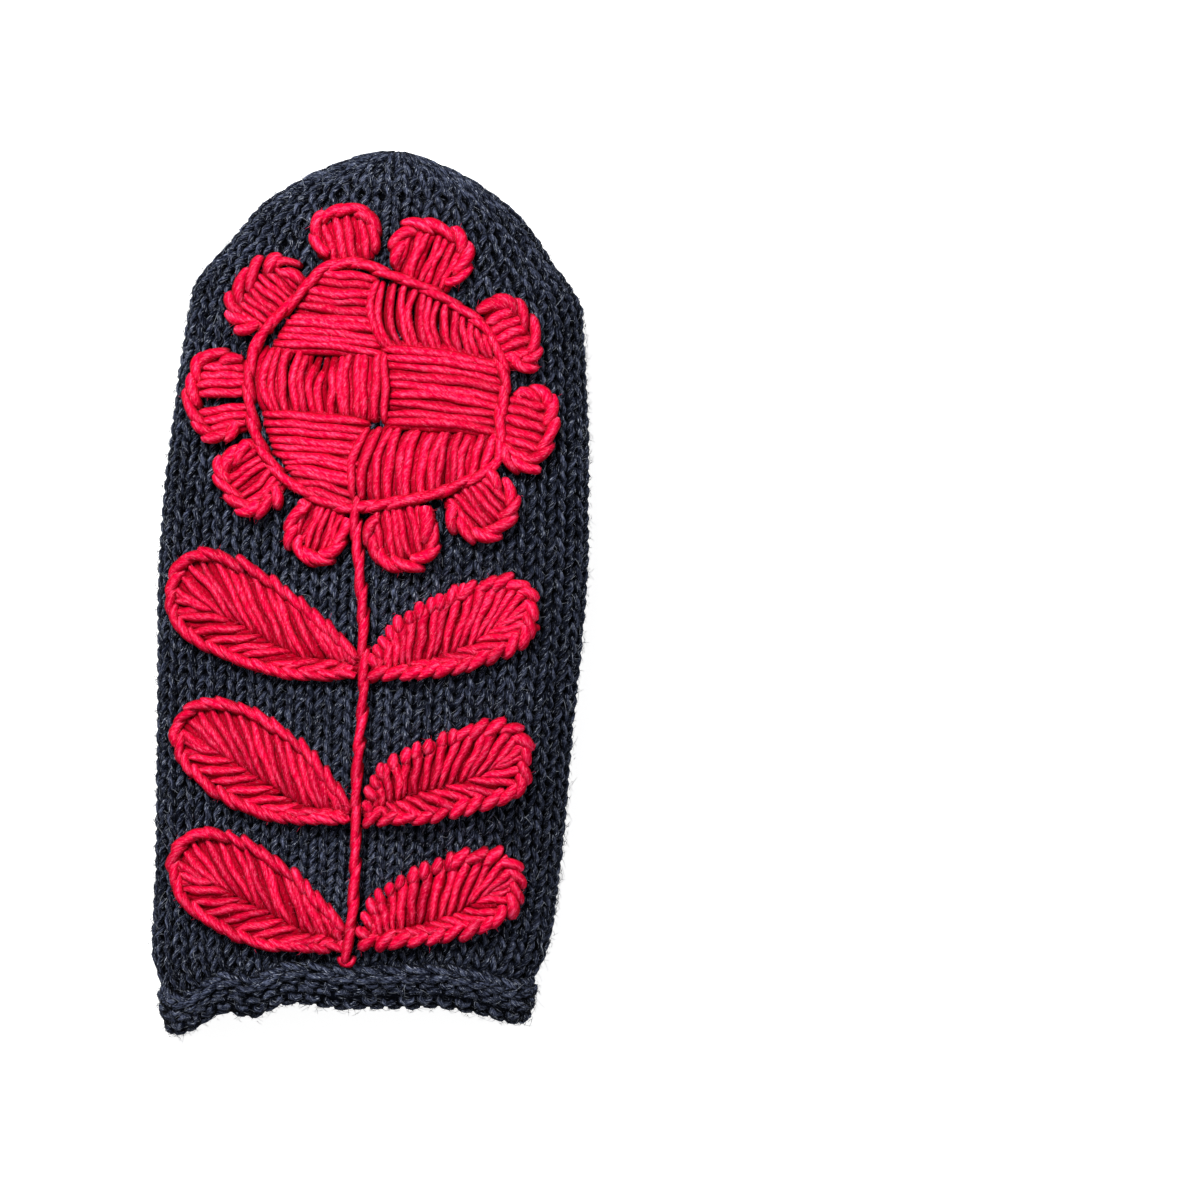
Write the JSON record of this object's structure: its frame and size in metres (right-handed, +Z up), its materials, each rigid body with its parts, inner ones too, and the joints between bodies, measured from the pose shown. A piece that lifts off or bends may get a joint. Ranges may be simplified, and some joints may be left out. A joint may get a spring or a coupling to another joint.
{
  "type": "knitted mitten",
  "caption": "Hand-knitted wool mitten with a rolled hem, a folded thumb, and a stemmed flower embroidered on its back.",
  "frame": {"origin": "on the surface that the mitten lies on, under the middle of its box", "axes": "+Y towards the fingertips, +Z up out of the embroidered back, +X towards the side that the thumb is folded under"},
  "size_m": [0.117, 0.24, 0.0281],
  "materials": {
    "charcoal_wool": "heathered dark grey wool, stockinette, matt and slightly fuzzy",
    "red_wool": "thick soft crimson embroidery wool, lightly twisted, matt"
  },
  "bodies": {
    "root": {"hand_shell": "charcoal_wool", "finger_shell": "charcoal_wool", "thumb": "charcoal_wool", "petal_1": "red_wool", "petal_2": "red_wool", "petal_3": "red_wool", "petal_4": "red_wool", "petal_5": "red_wool", "petal_6": "red_wool", "petal_7": "red_wool", "petal_8": "red_wool", "petal_9": "red_wool", "petal_10": "red_wool", "flower_ring": "red_wool", "block_top_left": "red_wool", "block_top_right": "red_wool", "block_mid_left": "red_wool", "block_mid_right": "red_wool", "block_low_left": "red_wool", "block_low_right": "red_wool", "stem": "red_wool", "leaf_left_top": "red_wool", "leaf_left_mid": "red_wool", "leaf_left_low": "red_wool", "leaf_right_top": "red_wool", "leaf_right_mid": "red_wool", "leaf_right_low": "red_wool"}
  },
  "joints": []
}
